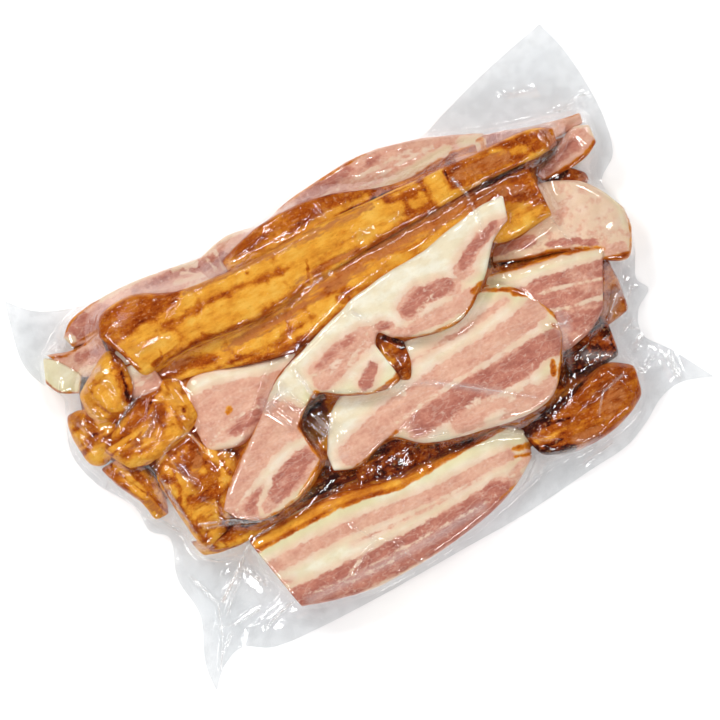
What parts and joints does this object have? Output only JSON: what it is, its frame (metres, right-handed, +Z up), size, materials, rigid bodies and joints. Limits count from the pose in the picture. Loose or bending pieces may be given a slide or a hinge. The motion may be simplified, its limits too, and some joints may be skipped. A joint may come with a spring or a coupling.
{
  "type": "vacuum pack of smoked bacon pieces",
  "caption": "Clear vacuum-sealed pouch filled with a flat heap of smoked bacon slabs, slices and chunks, lying flat with film margins and pointed corners.",
  "frame": {"origin": "on the surface the pack lies on, under the middle of the pouch's bounding box", "axes": "+X along the pouch's length towards the end with the wide ear, +Y across it towards the long golden slab at the back, +Z up out of the filled side"},
  "size_m": [0.349, 0.246, 0.05],
  "materials": {
    "film": "clear glossy thin plastic film, slightly grey where it is doubled",
    "smoked_fat": "golden smoked outer fat, wet and glossy under the film",
    "smoked_lean": "red-brown smoked lean and crust, wet and glossy under the film",
    "cut_face": "cut pork belly: pink lean with cream fat layers",
    "pale_fat": "cream fat, smooth and moist"
  },
  "bodies": {
    "root": {"pouch": "film", "slice_diagonal": "cut_face", "slice_centre": "cut_face", "slice_left_mid": "cut_face", "pale_slice_left": "cut_face", "slab_bottom": "cut_face", "slice_right": "cut_face", "end_slice_right": "cut_face", "slice_far_right": "cut_face", "back_slice_right": "cut_face", "strip_back_right": "cut_face", "back_slice_left": "cut_face", "back_slice_middle": "cut_face", "flap_left_back": "cut_face", "tag_left": "pale_fat", "slab_main": "smoked_fat", "slab_front": "smoked_fat", "chunk_left_mid": "smoked_fat", "chunk_left_top": "smoked_fat", "chunk_left_front": "smoked_fat", "flap_left_lower": "smoked_fat", "strip_bottom_left": "smoked_fat", "slab_back": "smoked_lean", "crust_peg": "smoked_lean", "chunk_right_front": "smoked_lean", "chip_dark_right": "smoked_lean", "chunk_left_outer": "smoked_lean", "chunk_dark_centre": "smoked_lean", "strip_dark": "smoked_lean", "chunk_right_mid": "smoked_lean", "chunk_right_small": "smoked_lean"}
  },
  "joints": []
}
